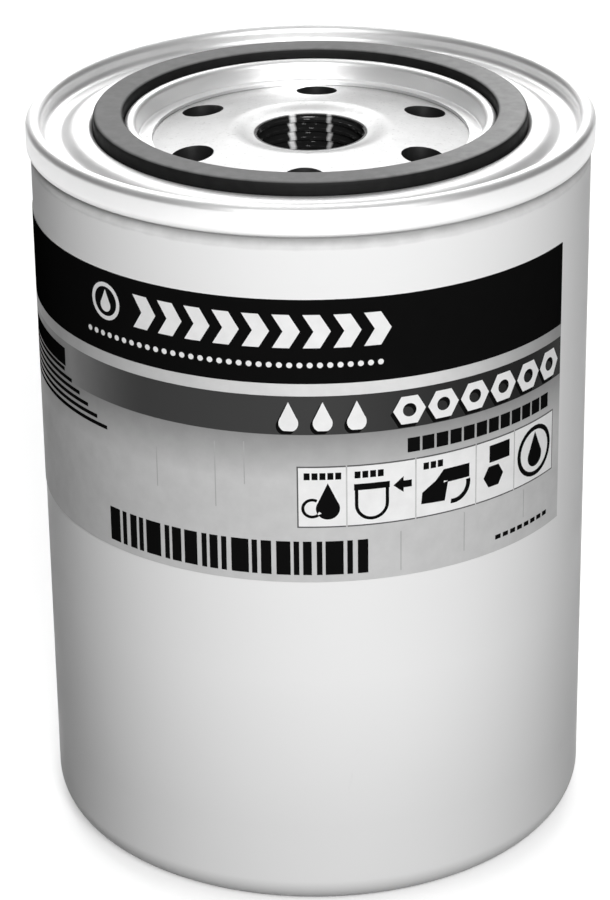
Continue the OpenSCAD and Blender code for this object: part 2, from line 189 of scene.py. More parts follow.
# ---------------------------------------------------------------- node materials
class Surface:
    """A Principled material with a few helpers for its nodes."""

    def __init__(self, name, colour, roughness, metallic=0.0, **fixed):
        self.material = bpy.data.materials.new(name)
        self.material.use_nodes = True
        self.nodes = self.material.node_tree.nodes
        self.links = self.material.node_tree.links
        self.shader = self.nodes["Principled BSDF"]
        self.set("Base Color", (*colour, 1))
        self.set("Roughness", roughness)
        self.set("Metallic", metallic)
        for socket, value in fixed.items():
            self.set(socket.replace("_", " ").title().replace("Ior", "IOR"), value)
        self.place = self.nodes.new("ShaderNodeTexCoord").outputs["Object"]

    def set(self, socket, value):
        self.shader.inputs[socket].default_value = value

    def plug(self, socket, value):
        if isinstance(value, bpy.types.NodeSocket):
            self.links.new(value, socket)
        else:
            socket.default_value = value

    def maths(self, operation, *values):
        node = self.nodes.new("ShaderNodeMath")
        node.operation = operation
        for socket, value in zip(node.inputs, values):
            self.plug(socket, value)
        return node.outputs[0]

    def scaled(self, sx, sy, sz):
        node = self.nodes.new("ShaderNodeMapping")
        self.links.new(self.place, node.inputs["Vector"])
        node.inputs["Scale"].default_value = (sx, sy, sz)
        return node.outputs[0]

    def radius(self):
        """Distance from the filter's axis, in metres."""
        node = self.nodes.new("ShaderNodeVectorMath")
        node.operation = "LENGTH"
        self.links.new(self.scaled(1, 1, 0), node.inputs[0])
        return node.outputs["Value"]

    def split(self, vector=None):
        node = self.nodes.new("ShaderNodeSeparateXYZ")
        self.links.new(vector or self.place, node.inputs[0])
        return node.outputs

    def combine(self, x, y, z):
        node = self.nodes.new("ShaderNodeCombineXYZ")
        for socket, value in zip(node.inputs, (x, y, z)):
            self.plug(socket, value)
        return node.outputs[0]

    def angle(self):
        """Angle round the axis from the front, positive to the right, in degrees."""
        x, y, _ = self.split()
        turn = self.maths("ARCTAN2", x, self.maths("MULTIPLY", y, -1.0))
        return self.maths("MULTIPLY", turn, 180 / math.pi)

    def steep(self):
        """1 on walls, 0 on faces that look up or down."""
        return self.between(self.maths("ABSOLUTE", self.upward()), 0.35, 0.75, 1, 0)

    def inside(self, value, low, high, soft):
        """1 where value lies between low and high, with edges of width soft."""
        rise = self.between(value, low, low + soft)
        fall = self.between(value, high - soft, high, 1, 0)
        return self.maths("MULTIPLY", rise, fall)

    def upward(self):
        """The height component of the surface's normal."""
        normal = self.nodes.new("ShaderNodeNewGeometry").outputs["Normal"]
        return self.split(normal)[2]

    def noise(self, scale, detail=4, rough=0.55, vector=None):
        """Noise with about `scale` features to a metre."""
        node = self.nodes.new("ShaderNodeTexNoise")
        self.links.new(vector or self.place, node.inputs["Vector"])
        node.inputs["Scale"].default_value = scale
        node.inputs["Detail"].default_value = detail
        node.inputs["Roughness"].default_value = rough
        return node.outputs["Fac"]

    def cells(self, scale, feature="DISTANCE_TO_EDGE"):
        node = self.nodes.new("ShaderNodeTexVoronoi")
        node.feature = feature
        self.links.new(self.place, node.inputs["Vector"])
        node.inputs["Scale"].default_value = scale
        return node.outputs["Distance"]

    def ramp(self, value, *stops):
        """Stops are (position, grey or colour)."""
        node = self.nodes.new("ShaderNodeValToRGB")
        self.links.new(value, node.inputs[0])
        elements = node.color_ramp.elements
        while len(elements) < len(stops):
            elements.new(1)
        for element, (position, shade) in zip(elements, stops):
            shade = shade if isinstance(shade, tuple) else (shade,) * 3
            element.position = position
            element.color = (*shade, 1)
        return node.outputs["Color"]

    def between(self, value, low, high, out_low=0.0, out_high=1.0):
        node = self.nodes.new("ShaderNodeMapRange")
        self.links.new(value, node.inputs["Value"])
        for name, number in (("From Min", low), ("From Max", high), ("To Min", out_low),
                             ("To Max", out_high)):
            node.inputs[name].default_value = number
        return node.outputs["Result"]

    def mix(self, share, a, b):
        node = self.nodes.new("ShaderNodeMix")
        node.data_type = "RGBA"
        self.plug(node.inputs["Factor"], share)
        for socket, value in ((node.inputs[6], a), (node.inputs[7], b)):
            self.plug(socket, (*value, 1) if isinstance(value, tuple) else value)
        return node.outputs[2]

    def colour(self, socket):
        self.links.new(socket, self.shader.inputs["Base Color"])

    def roughness(self, value, low, high):
        self.links.new(self.between(value, 0.25, 0.75, low, high),
                       self.shader.inputs["Roughness"])

    def bump(self, height, depth, strength=1.0):
        """Adds relief: depth is its full height in metres."""
        node = self.nodes.new("ShaderNodeBump")
        node.inputs["Strength"].default_value = strength
        node.inputs["Distance"].default_value = depth
        self.links.new(height, node.inputs["Height"])
        under = self.shader.inputs["Normal"]
        if under.is_linked:
            self.links.new(under.links[0].from_socket, node.inputs["Normal"])
        self.links.new(node.outputs["Normal"], under)


def white_enamel():
    """Stoved white paint: orange peel, a faint mottle, and painted shade under the seam. It
    is painted darker towards the can's foot, as shade."""
    s = Surface("white_enamel", (0.8, 0.8, 0.8), 0.45, specular_ior_level=0.02)
    tone = s.ramp(s.noise(14, 3), (0.3, 0.785), (0.7, 0.815))
    height = s.split()[2]
    # Painted shade: a dark band in the recess under the seam's overhang.
    seam = s.maths("ADD", height, s.maths("MULTIPLY", s.noise(350, 3), 0.0006))
    under_seam_shade = s.inside(seam, (SEAM_LOW - 2) * MM, (SEAM_LOW + 4) * MM, 0.0015)
    under_seam_shaded = s.mix(s.maths("MULTIPLY", under_seam_shade, 0.75), tone, (0.2, 0.2, 0.2))
    scuffs = s.ramp(s.noise(420, 7, 0.7, s.scaled(1, 1, 0.25)), (0.66, 0.0), (0.8, 1.0))
    scuffed = s.mix(s.maths("MULTIPLY", scuffs, 0.12), under_seam_shaded, (0.5, 0.5, 0.5))
    # Painted shade: the paint darkens towards the can's foot.
    s.colour(s.mix(s.between(height, 0.016, 0.044, 0.12, 0.0), scuffed, (0.0, 0.0, 0.0)))
    s.roughness(s.noise(90, 5), 0.28, 0.42)
    s.bump(s.noise(520, 2, 0.4), 0.00003, 0.5)
    s.bump(s.noise(60, 2), 0.00006, 0.3)
    return s.material


def bright_plate():
    """Tinned sheet steel, drawn and seamed: fine rings, a satin bloom, and painted shade under the
    curl.
    """
    s = Surface("bright_plate", (0.9, 0.9, 0.89), 0.4, 0.85)
    around = s.maths("MULTIPLY", s.angle(), 0.004)
    rings = s.noise(2600, 2, 0.6, s.combine(s.radius(), around, s.split()[2]))
    bloom = s.noise(45, 5, 0.6)
    # Painted shade: the outside of the seam's curl darkens towards its bottom edge.
    foot = s.between(s.split()[2], SEAM_LOW * MM, (SEAM_LOW + 1.1) * MM, 0.6, 0.0)
    curl_underside_shade = s.maths("MULTIPLY", foot, s.between(s.radius(), 0.0466, 0.0469))
    sheen = s.ramp(bloom, (0.25, 0.86), (0.75, 0.93))
    s.colour(s.mix(curl_underside_shade, sheen, (0.2, 0.2, 0.2)))
    s.roughness(s.mix(0.5, rings, bloom), 0.34, 0.52)
    s.bump(rings, 0.000008, 0.6)
    s.bump(s.noise(130, 2), 0.00004, 0.25)
    return s.material


def plain_steel(name, tone, metallic=0.9, rough=(0.34, 0.55)):
    """Pressed steel with mill grain, a sandy surface and darker specks."""
    s = Surface(name, (tone,) * 3, rough[0], metallic)
    grain = s.noise(900, 5, 0.65)
    patches = s.noise(70, 4, 0.6)
    base = s.ramp(patches, (0.25, tone * 0.88), (0.75, min(tone * 1.1, 0.95)))
    specks = s.ramp(s.noise(1900, 2, 0.5), (0.66, 0.0), (0.74, 1.0))
    s.colour(s.mix(s.maths("MULTIPLY", specks, 0.45), base, (tone * 0.5,) * 3))
    s.roughness(grain, *rough)
    s.bump(grain, 0.00002, 0.5)
    return s.material


def plate_steel():
    """The tapping plate's steel. The walls of its inlets are painted near-black as shade, and the
    threaded bore near-black as oily steel and painted shade. Two painted glints, pale streaks,
    run down the far side of the thread."""
    s = Surface("plate_steel", (0.66, 0.66, 0.66), 0.36, 0.9)
    grain = s.noise(900, 5, 0.65)
    face = s.ramp(s.noise(70, 4, 0.6), (0.25, 0.45), (0.75, 0.57))
    specks = s.ramp(s.noise(1900, 2, 0.5), (0.62, 0.0), (0.72, 1.0))
    face = s.mix(s.maths("MULTIPLY", specks, 0.5), face, (0.25, 0.25, 0.25))
    # Near-black, non-metallic walls in the bore and the inlets: painted shade of the holes'
    # depths; the bore's is partly oily steel.
    below = s.between(s.split()[2], (HUB_TOP + 0.01) * MM, (HUB_TOP + 0.03) * MM, 1, 0)
    bore = s.maths("MULTIPLY", below, s.inside(s.radius(), -0.001, (BORE_R + 1.2) * MM, 0.0002))
    hole = s.maths("MULTIPLY", s.steep(), s.inside(s.radius(), 0.016, 0.027, 0.0002))
    # Painted glints: two pale streaks down the far wall of the thread stand in for reflections of
    # the lamps.
    painted_glints = s.maths("ADD", s.inside(s.angle(), -165, -155.5, 3),
                      s.maths("MULTIPLY", s.inside(s.angle(), 156, 163, 2.5), 0.6))
    thread = s.mix(painted_glints, (0.012, 0.012, 0.012), (0.7, 0.7, 0.7))
    s.colour(s.mix(bore, s.mix(hole, face, (0.012, 0.012, 0.012)), thread))
    matt = s.maths("MULTIPLY_ADD", grain, 0.3, 0.24)
    s.links.new(s.mix(bore, matt, (0.16, 0.16, 0.16)), s.shader.inputs["Roughness"])
    dark_hole_walls = s.maths("MAXIMUM", bore, hole)
    s.links.new(s.maths("MULTIPLY_ADD", dark_hole_walls, -0.9, 0.9), s.shader.inputs["Metallic"])
    s.bump(grain, 0.00002, 0.5)
    return s.material


def yellow_plating():
    """Zinc-plated end caps with a faint yellow and rainbow cast."""
    s = Surface("yellow_plating", (0.72, 0.66, 0.48), 0.35, 1.0)
    cast = s.noise(55, 5, 0.6)
    s.colour(s.ramp(cast, (0.2, (0.78, 0.70, 0.44)), (0.5, (0.72, 0.66, 0.50)),
                    (0.8, (0.66, 0.62, 0.58))))
    s.roughness(s.noise(400, 4), 0.26, 0.48)
    s.bump(s.noise(900, 3), 0.00001, 0.5)
    return s.material


def rubber(name, dark, talc_and_sheen_tone, talc_and_sheen_share=0.9):
    """Moulded nitrile rubber. Faces that look up are paler: partly talc, partly painted sheen
    from the light above. They are paler still towards the right, which is painted light."""
    s = Surface(name, (dark,) * 3, 0.6, specular_ior_level=0.12)
    mottle = s.noise(420, 5, 0.6)
    # Paler upward faces: talc and painted sheen.
    up = s.between(s.upward(), 0.55, 0.95, 0.0, talc_and_sheen_share)
    talc_and_sheen = s.maths("MULTIPLY", up, s.between(mottle, 0.2, 0.7, 0.65, 1.0))
    side = s.ramp(mottle, (0.3, dark * 0.7), (0.7, dark * 1.3))
    # Painted light: paler towards the right.
    thick = s.between(s.split()[0], 0.008, 0.034)
    bloom = s.mix(thick, (talc_and_sheen_tone,) * 3, (talc_and_sheen_tone * 1.75,) * 3)
    s.colour(s.mix(talc_and_sheen, side, bloom))
    s.roughness(mottle, 0.5, 0.72)
    s.bump(s.noise(1500, 4, 0.6), 0.00003, 0.5)
    s.bump(s.noise(160, 3), 0.00006, 0.3)
    return s.material


def filter_paper():
    """Resin-cured paper: matted fibres over embossed lines."""
    s = Surface("filter_paper", (0.80, 0.66, 0.42), 0.85, specular_ior_level=0.2)
    fibres = s.noise(700, 8, 0.75, s.scaled(1, 1, 0.35))
    s.colour(s.ramp(fibres, (0.3, (0.70, 0.54, 0.30)), (0.7, (0.86, 0.73, 0.50))))
    s.bump(fibres, 0.00008, 0.6)
    lines = s.maths("SINE", s.maths("MULTIPLY", s.split()[2], 2 * math.pi / 0.0022))
    s.bump(lines, 0.00005, 0.5)
    return s.material


def potting_resin():
    """Poured plastisol: smooth, with small pits."""
    s = Surface("potting_resin", (0.36, 0.10, 0.08), 0.4)
    s.colour(s.ramp(s.noise(140, 4), (0.3, (0.30, 0.08, 0.06)), (0.7, (0.42, 0.13, 0.10))))
    s.roughness(s.noise(300, 3), 0.3, 0.55)
    s.bump(s.ramp(s.cells(320, "F1"), (0.0, 0.0), (0.2, 1.0)), 0.00008, 0.5)
    return s.material


def seam_paste():
    s = Surface("seam_paste", (0.25, 0.27, 0.29), 0.6)
    s.colour(s.ramp(s.noise(500, 4), (0.3, (0.20, 0.22, 0.24)), (0.7, (0.30, 0.32, 0.34))))
    s.bump(s.noise(900, 4), 0.00003, 0.6)
    return s.material


def spring_wire():
    """Oil-tempered wire with drawing marks."""
    s = Surface("spring_wire", (0.42, 0.42, 0.43), 0.32, 1.0)
    draw = s.noise(1400, 3, 0.6)
    s.colour(s.ramp(s.noise(80, 4), (0.3, 0.34), (0.7, 0.48)))
    s.roughness(draw, 0.24, 0.44)
    s.bump(draw, 0.00001, 0.5)
    return s.material


def film_finish(s):
    """The sheen and relief that all the printed film shares."""
    s.roughness(s.noise(120, 4), 0.33, 0.46)
    s.bump(s.noise(700, 3), 0.00001, 0.4)
    return s.material


def ink(name, tone, gloss=0.05):
    """Printed film; tone is a grey."""
    s = Surface(name, (tone,) * 3, 0.38, specular_ior_level=gloss)
    mottle = s.noise(320, 4, 0.6)
    s.colour(s.ramp(mottle, (0.3, tone * 0.95), (0.7, tone * 1.04)))
    return film_finish(s)


def fading_stripe():
    """The pale line under the black band. It greys towards both ends."""
    s = Surface("ink_pale", (0.7, 0.7, 0.7), 0.38, specular_ior_level=0.05)
    angle = s.angle()
    ends = s.maths("MULTIPLY", s.between(angle, -62, -2, 0.62, 1),
                   s.between(angle, 20, 58, 1, 0.4))
    grain = s.between(s.noise(320, 4, 0.6), 0.3, 0.7, 0.66, 0.72)
    s.colour(s.maths("MULTIPLY", ends, grain))
    return film_finish(s)


def printed_film(tone, band):
    """The film's grey ground. It darkens towards the grey band, which fades in from the left
    and darkens again to the right."""
    s = Surface("film_print", (tone,) * 3, 0.38, specular_ior_level=0.05)
    angle, height = s.angle(), s.split()[2]
    mottle = s.noise(320, 4, 0.6)
    ground = s.ramp(mottle, (0.3, tone * 0.95), (0.7, tone * 1.04))
    shade = s.between(height, 0.08, BAND_LOW * MM, 0.0, 0.55)
    ground = s.mix(shade, ground, (band,) * 3)
    rest = s.between(angle, -58, -34, 1, 0)
    start = s.maths("SUBTRACT", 1, s.maths("MULTIPLY", rest, rest))
    ending = s.between(angle, 4, 46)
    strip = s.mix(ending, s.mix(start, ground, (band,) * 3), (band * 0.15,) * 3)
    printed = s.inside(height, BAND_LOW * MM, BAND_HIGH * MM, 0.00005)
    on_band = s.maths("MULTIPLY", printed, s.between(angle, 80, 130, 1, 0))
    s.colour(s.mix(on_band, ground, strip))
    return film_finish(s)


# ---------------------------------------------------------------- outlines
def arc(r, z, radius, start, end, n=12):
    """Points round part of a circle, between two angles in degrees."""
    turns = (math.radians(start + (end - start) * i / n) for i in range(n + 1))
    return [(r + radius * math.cos(a), z + radius * math.sin(a)) for a in turns]


def ease_z(p, q, n=14):
    """Points from p to q whose height eases in and out."""
    return [(p[0] + (q[0] - p[0]) * i / n,
             p[1] + (q[1] - p[1]) * (1 - math.cos(math.pi * i / n)) / 2) for i in range(n + 1)]


def ease_r(p, q, n=14):
    """Points from p to q whose radius eases in and out."""
    return [(z, r) for r, z in ease_z(p[::-1], q[::-1], n)]


def line(p, q, n):
    """n + 1 even points from p to q."""
    return [(p[0] + (q[0] - p[0]) * i / n, p[1] + (q[1] - p[1]) * i / n) for i in range(n + 1)]


def sheet(points, t):
    """A line of points, and the same line moved t to its left, as one outline."""
    other = []
    for i, (r, z) in enumerate(points):
        a, b = points[max(i - 1, 0)], points[min(i + 1, len(points) - 1)]
        d = Vector((b[0] - a[0], b[1] - a[1])).normalized()
        other.append((r - t * d.y, z + t * d.x))
    return points + other[::-1]


def plate_z(r):
    """Height of the tapping plate's upper face at a radius."""
    return CREST_Z - (r - CREST_R) * math.tan(PLATE_FALL)


# ---------------------------------------------------------------- mesh building
def soften(bm, sharp=38):
    """Smooth shading, with edges past `sharp` degrees kept crisp."""
    limit = math.radians(sharp)
    for face in bm.faces:
        face.smooth = True
    for edge in bm.edges:
        edge.smooth = not edge.is_manifold or edge.calc_face_angle(0) < limit


def finish_mesh(name, bm, material, body, nodes=()):
    """Makes an object of bm, riding on a body and standing for CAD nodes."""
    bmesh.ops.recalc_face_normals(bm, faces=bm.faces)
    soften(bm)
    mesh = bpy.data.meshes.new(name)
    bm.to_mesh(mesh)
    bm.free()
    mesh.materials.append(material)
    piece = bpy.data.objects.new(name, mesh)
    bpy.context.scene.collection.objects.link(piece)
    if body:
        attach(piece, body)
    if nodes:
        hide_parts(*nodes)
    return piece


def turned(outline, segments=256, shape=None):
    """Turns a closed outline about the axis. shape(radius, height, turn) may move a point."""
    tidy = []
    for p in outline:
        if not tidy or math.dist(p, tidy[-1]) > 1e-5:
            tidy.append(p)
    if math.dist(tidy[0], tidy[-1]) < 1e-5:
        tidy.pop()
    bm = bmesh.new()
    rings = []
    for r, z in tidy:
        if r < 1e-6:
            rings.append([bm.verts.new((0, 0, z * MM))] * segments)
            continue
        ring = []
        for k in range(segments):
            turn = 2 * math.pi * k / segments
            rr, zz = shape(r, z, turn) if shape else (r, z)
            ring.append(bm.verts.new((rr * math.cos(turn) * MM, rr * math.sin(turn) * MM,
                                      zz * MM)))
        rings.append(ring)
    for i, low in enumerate(rings):
        high = rings[(i + 1) % len(rings)]
        if low[0] is low[1] and high[0] is high[1]:
            continue
        for k in range(segments):
            m = (k + 1) % segments
            corners = []
            for v in (low[k], low[m], high[m], high[k]):
                if v not in corners:
                    corners.append(v)
            bm.faces.new(corners)
    return bm


def wire(centres, radius, sides=16):
    """A round wire along a line of points, in mm, with flat ends."""
    bm = bmesh.new()
    rings = []
    points = [Vector(c) * MM for c in centres]
    for i, p in enumerate(points):
        along = (points[min(i + 1, len(points) - 1)] - points[max(i - 1, 0)]).normalized()
        out = Vector((p.x, p.y, 0)).normalized()
        up = along.cross(out).normalized()
        out = up.cross(along).normalized()
        rings.append([bm.verts.new(p + radius * MM * (
            math.cos(2 * math.pi * k / sides) * out + math.sin(2 * math.pi * k / sides) * up))
            for k in range(sides)])
    for low, high in zip(rings, rings[1:]):
        for k in range(sides):
            m = (k + 1) % sides
            bm.faces.new((low[k], low[m], high[m], high[k]))
    bm.faces.new(rings[0][::-1])
    bm.faces.new(rings[-1])
    return bm


# ---------------------------------------------------------------- the seam's layers, mm
PANEL_OUT = CAN_R + SEAM_PROUD
PANEL_IN = PANEL_OUT - LID_SHEET
CAN_HOOK_IN = PANEL_IN - SEAM_GAP - CAN_SHEET
LID_HOOK_OUT = CAN_HOOK_IN - SEAM_GAP
WALL_OUT = LID_HOOK_OUT - LID_SHEET - SEAM_GAP
CHUCK_OUT = WALL_OUT - CAN_SHEET - SEAM_GAP
OVER_R = (PANEL_IN + CHUCK_OUT) / 2
OVER_IN = (PANEL_IN - CHUCK_OUT) / 2
OVER_Z = SEAM_TOP - OVER_IN - LID_SHEET
CURL_R = (PANEL_IN + LID_HOOK_OUT) / 2
CURL_IN = (PANEL_IN - LID_HOOK_OUT) / 2
CURL_Z = SEAM_LOW + CURL_IN + LID_SHEET
HOOK_IN = (CAN_HOOK_IN - WALL_OUT) / 2
HOOK_CLEAR = 0.25

# ---------------------------------------------------------------- the groove and plate, mm
GROOVE_OUT = GASKET_OUT + 2 * TOUCH
GROOVE_IN = GASKET_IN - 2 * TOUCH
GROOVE_Z = GASKET_LOW - TOUCH
PLATE_FLAT = GROOVE_Z - LID_SHEET - TOUCH
CREST_Z = top_of("tapping_plate")
HUB_LOW = foot_of("tapping_plate")
HUB_TOP = CREST_Z - 0.9
HUB_R = 11.8
SLOPE_END, FLAT_START = 29.2, 30.2


# ---------------------------------------------------------------- the housing
def make_can():
    outline = sheet(
        [(0, FOOT_RISE)]
        + ease_z((29, FOOT_RISE), (35, 0))
        + arc(CAN_R - CAN_CORNER, CAN_CORNER, CAN_CORNER, -90, 0, 24)
        + ease_r((CAN_R, SEAM_LOW - 2), (WALL_OUT, SEAM_LOW - TOUCH))
        + arc(OVER_R, OVER_Z, HOOK_IN, 180, 0)
        + [(CAN_HOOK_IN, CURL_Z + HOOK_CLEAR)], CAN_SHEET)
    finish_mesh("can_body", turned(outline), white_enamel(), "housing", ["canister"])


def make_lid():
    chuck, land, floor, fold, ring = 1.8, 0.4, 0.9, 0.5, 0.8  # bend radii
    lean = 5.5
    valley_z = SEAM_TOP - 3.2 - LID_SHEET
    land_z = SEAM_TOP - 1.9 - LID_SHEET
    floor_z = GROOVE_Z - LID_SHEET
    fold_z = SEAM_TOP - 1.3 - LID_SHEET - fold
    ring_r = SLOPE_END - ring
    lid_bore_r = 26.3
    lip = line((ring_r - 0.3, plate_z(ring_r - 0.3) + TOUCH),
               (lid_bore_r, plate_z(lid_bore_r) + TOUCH), 9)
    outline = sheet(
        [(LID_HOOK_OUT, OVER_Z - HOOK_CLEAR)]
        + arc(CURL_R, CURL_Z, CURL_IN, 180, 360)
        + arc(OVER_R, OVER_Z, OVER_IN, 0, 180, 24)
        + arc(CHUCK_OUT - chuck, valley_z + chuck, chuck, 0, -90)
        + ease_z((CHUCK_OUT - 3.4, valley_z), (GROOVE_OUT + 2.6, land_z))
        + arc(GROOVE_OUT + LID_SHEET + land, land_z - land, land, 90, 180)
        + arc(GROOVE_OUT + LID_SHEET - floor, floor_z + floor, floor, 0, -90)
        + arc(GROOVE_IN - LID_SHEET + floor, floor_z + floor, floor, -90, -180)
        + arc(GROOVE_IN - LID_SHEET - fold, fold_z, fold, 0, 180 - lean, 18)
        + arc(ring_r, plate_z(ring_r) + ring + TOUCH, ring, -lean, -97)
        + lip, -LID_SHEET)
    welds = 8
    weld_r, weld_size, weld_depth = 27.4, 0.75, 0.14

    def weld_dimples(r, z, turn):
        step = 2 * math.pi / welds
        off = (turn + step / 2) % step - step / 2
        gap = math.hypot(r - weld_r, off * weld_r)
        on_top = z > plate_z(r) + TOUCH + LID_SHEET / 2 and abs(r - weld_r) < 1.5
        return (r, z - weld_depth * math.exp(-(gap / weld_size) ** 2)) if on_top else (r, z)

    finish_mesh("lid_pressing", turned(outline, 384, weld_dimples), bright_plate(), "housing",
                ["seaming_lid"])


def thread_radius(z, turn):
    """Surface of a 3/4-16 internal thread: flat crests and roots joined by 60 degree flanks."""
    pitch, depth, fade = 1.5875, 0.775, 0.9
    phase = (z / pitch - turn / (2 * math.pi)) % 1
    rise = abs(phase - 0.5) * 2  # 0 in the root's middle, 1 in the crest's
    root, crest = 0.125, 0.7
    share = min(max((crest - rise) / (crest - root), 0), 1)
    from_end = min(z - HUB_LOW, HUB_TOP - z)
    runout = min(max(from_end / fade, 0), 1)
    chamfer = BORE_R + max(MOUTH - from_end, 0)
    return max(BORE_R + depth * share * runout, chamfer)


def make_plate():
    edge, hub_round = 0.8, 2.0
    under_z = plate_z(HUB_R + hub_round) - PLATE_T
    bore = line((BORE_R, HUB_LOW), (BORE_R, HUB_TOP), 180)
    outline = (
        bore
        + ease_z((BORE_R + MOUTH + 0.05, HUB_TOP + 0.005), (CREST_R, CREST_Z), 18)
        + line((CREST_R + 0.6, plate_z(CREST_R + 0.6)), (SLOPE_END, plate_z(SLOPE_END)), 24)
        + ease_z((SLOPE_END + 0.02, plate_z(SLOPE_END)), (FLAT_START, PLATE_FLAT))
        + arc(PLATE_R - edge, PLATE_FLAT - edge, edge, 90, 0)
        + arc(PLATE_R - edge, PLATE_FLAT - PLATE_T + edge, edge, 0, -90)
        + ease_z((FLAT_START, PLATE_FLAT - PLATE_T), (SLOPE_END, plate_z(SLOPE_END) - PLATE_T))
        + line((SLOPE_END - 0.1, plate_z(SLOPE_END - 0.1) - PLATE_T),
               (HUB_R + hub_round + 0.1, under_z), 16)
        + arc(HUB_R + hub_round, under_z - hub_round, hub_round, 90, 180)
        + [(HUB_R, HUB_LOW + MOUTH), (HUB_R - MOUTH, HUB_LOW)])

    def cut_thread(r, z, turn):
        return (thread_radius(z, turn), z) if r < BORE_R + 1e-6 else (r, z)

    plate = finish_mesh("threaded_plate", turned(outline, 240, cut_thread),
                        plate_steel(), "housing", ["tapping_plate"])
    for cut in range(INLETS):
        turn = math.radians(-93 + 360 * cut / INLETS)
        punch_inlet(plate, INLET_CIRCLE * math.cos(turn), INLET_CIRCLE * math.sin(turn))
    mend(plate)


def punch_inlet(plate, x, y):
    """Cuts one oil inlet, with its upper edge a little broken."""
    mouth_r = INLET_R + 0.15
    face_z = plate_z(INLET_CIRCLE)
    outline = [(0, HUB_LOW), (INLET_R, HUB_LOW), (INLET_R, face_z - 0.5),
               (mouth_r, face_z + 0.35), (mouth_r, CREST_Z + 2), (0, CREST_Z + 2)]
    cutter = finish_mesh("inlet_cutter", turned(outline, 64), plate.data.materials[0], None)
    cutter.location = (x * MM, y * MM, 0)
    cut = plate.modifiers.new("inlet", "BOOLEAN")
    cut.operation = "DIFFERENCE"
    cut.solver = "EXACT"
    cut.object = cutter
    apply_modifiers(plate)
    bpy.data.objects.remove(cutter)


def apply_modifiers(piece):
    graph = bpy.context.evaluated_depsgraph_get()
    made = bpy.data.meshes.new_from_object(piece.evaluated_get(graph), depsgraph=graph)
    old = piece.data
    piece.modifiers.clear()
    piece.data = made
    bpy.data.meshes.remove(old)


def mend(piece):
    """Cleans the slivers off a mesh that a modifier has made, and shades it again."""
    bm = bmesh.new()
    bm.from_mesh(piece.data)
    bmesh.ops.remove_doubles(bm, verts=bm.verts, dist=1e-7)
    bmesh.ops.dissolve_degenerate(bm, dist=1e-8, edges=bm.edges)
    soften(bm)
    bm.to_mesh(piece.data)
    bm.free()


def make_gasket():
    edge, foot = 0.75, 0.8
    left, right = GASKET_IN + edge, GASKET_OUT - edge
    outline = ([(GASKET_IN + foot, GASKET_LOW), (GASKET_OUT - foot, GASKET_LOW)]
               + line((GASKET_OUT, GASKET_LOW + foot), (GASKET_OUT, GASKET_TOP - edge), 4)
               + arc(right, GASKET_TOP - edge, edge, 0, 90)
               + line((right - 0.1, GASKET_TOP), (left + 0.1, GASKET_TOP), 8)
               + arc(left, GASKET_TOP - edge, edge, 90, 180)
               + [(GASKET_IN, GASKET_LOW + foot)])
    finish_mesh("gasket_ring", turned(outline), rubber("gasket_rubber", 0.008, 0.27), "housing",
                ["gasket"])


def make_valve():
    """The drain-back valve as one moulding, collar and lip together."""
    low, high = foot_of("drainback_valve_collar"), top_of("drainback_valve_collar")
    cap_top = top_of("top_end_cap")
    bore, side, throat = HUB_R + 0.1, 15.2, 13.1
    lip_r, bead = 27.0, 0.75
    lip_z = top_of("drainback_valve_flap") - bead
    skirt_low, skirt_t = foot_of("drainback_valve_flap"), 1.1
    outline = (
        [(bore, low), (throat - 0.6, low), (throat, low + 0.6), (throat, cap_top + TOUCH),
         (side, cap_top + TOUCH)]
        + line((side + 0.1, skirt_low + 0.1), (lip_r - 0.6, lip_z - 0.62), 24)
        + arc(lip_r, lip_z, bead, -110, 150, 20)
        + line((lip_r - 1.2, lip_z + 0.1), (side + 0.6, skirt_low + skirt_t + 0.35), 24)
        + arc(side - 0.9, high - 0.9, 0.9, 20, 90, 8)
        + [(bore, high)])
    valve = finish_mesh("drainback_valve", turned(outline, 192),
                        rubber("valve_rubber", 0.03, 0.05), None,
                        ["drainback_valve_collar", "drainback_valve_flap"])
    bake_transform(valve)


# ---------------------------------------------------------------- springs
def coil_line(turns, per_turn, radius, height):
    """Points of a coil whose radius and height are functions of the share of its length."""
    n = round(turns * per_turn)
    spots = ((i / n, 2 * math.pi * turns * i / n) for i in range(n + 1))
    return [(radius(u) * math.cos(a), radius(u) * math.sin(a), height(u)) for u, a in spots]


def make_dome_spring():
    turns, thick, flat = 3.5, 2.2, 0.18
    low = foot_of("element_spring") + thick / 2
    high = top_of("element_spring") - thick / 2

    def height(u):
        v = min(max((u - flat) / (1 - 2 * flat), 0), 1)
        return low + (high - low) * v

    coil = wire(coil_line(turns, 72, lambda u: 26 - 11 * u, height), thick / 2, 20)
    spring = finish_mesh("dome_spring", coil, spring_wire(), "housing", ["element_spring"])
    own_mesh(spring)


def make_bypass_spring():
    turns, thick, coil_r = 6, 0.9, 5.6
    low = foot_of("bypass_spring") + thick / 2
    high = top_of("bypass_spring") - thick / 2
    end_pitch = thick + 0.15
    middle_pitch = (high - low - 2 * end_pitch) / (turns - 2)

    def height(u):
        t = u * turns
        if t < 1:
            return low + t * end_pitch
        if t > turns - 1:
            return high - (turns - t) * end_pitch
        return low + end_pitch + (t - 1) * middle_pitch

    coil = wire(coil_line(turns, 48, lambda u: coil_r, height), thick / 2, 14)
    spring = finish_mesh("bypass_spring_wire", coil, spring_wire(), "element",
                         ["bypass_spring"])
    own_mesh(spring)


# ---------------------------------------------------------------- the label
BAND_LOW, BAND_HIGH = 88.0, 94.7  # the grey band; the pale stripe is over it
STRIPE_HIGH = 96.8
PICTURE_LOW, PICTURE_HIGH = 72.0, 82.3
PICTURE_EDGES = (-3.4, 6.2, 20.2, 33.8, 44.0, 57.0)  # degrees round the can
FILM_IN, FILM_T = 0.025, 0.1  # lift off the can, and the film's thickness
INK_T = 0.012
LABEL_LOW, LABEL_HIGH = foot_of("label_wrap"), top_of("label_wrap")
LABEL_START, LABEL_END = -200, 60


def round_can(degrees):
    """Length round the can, in mm, for an angle from the front."""
    return math.radians(degrees) * CAN_R


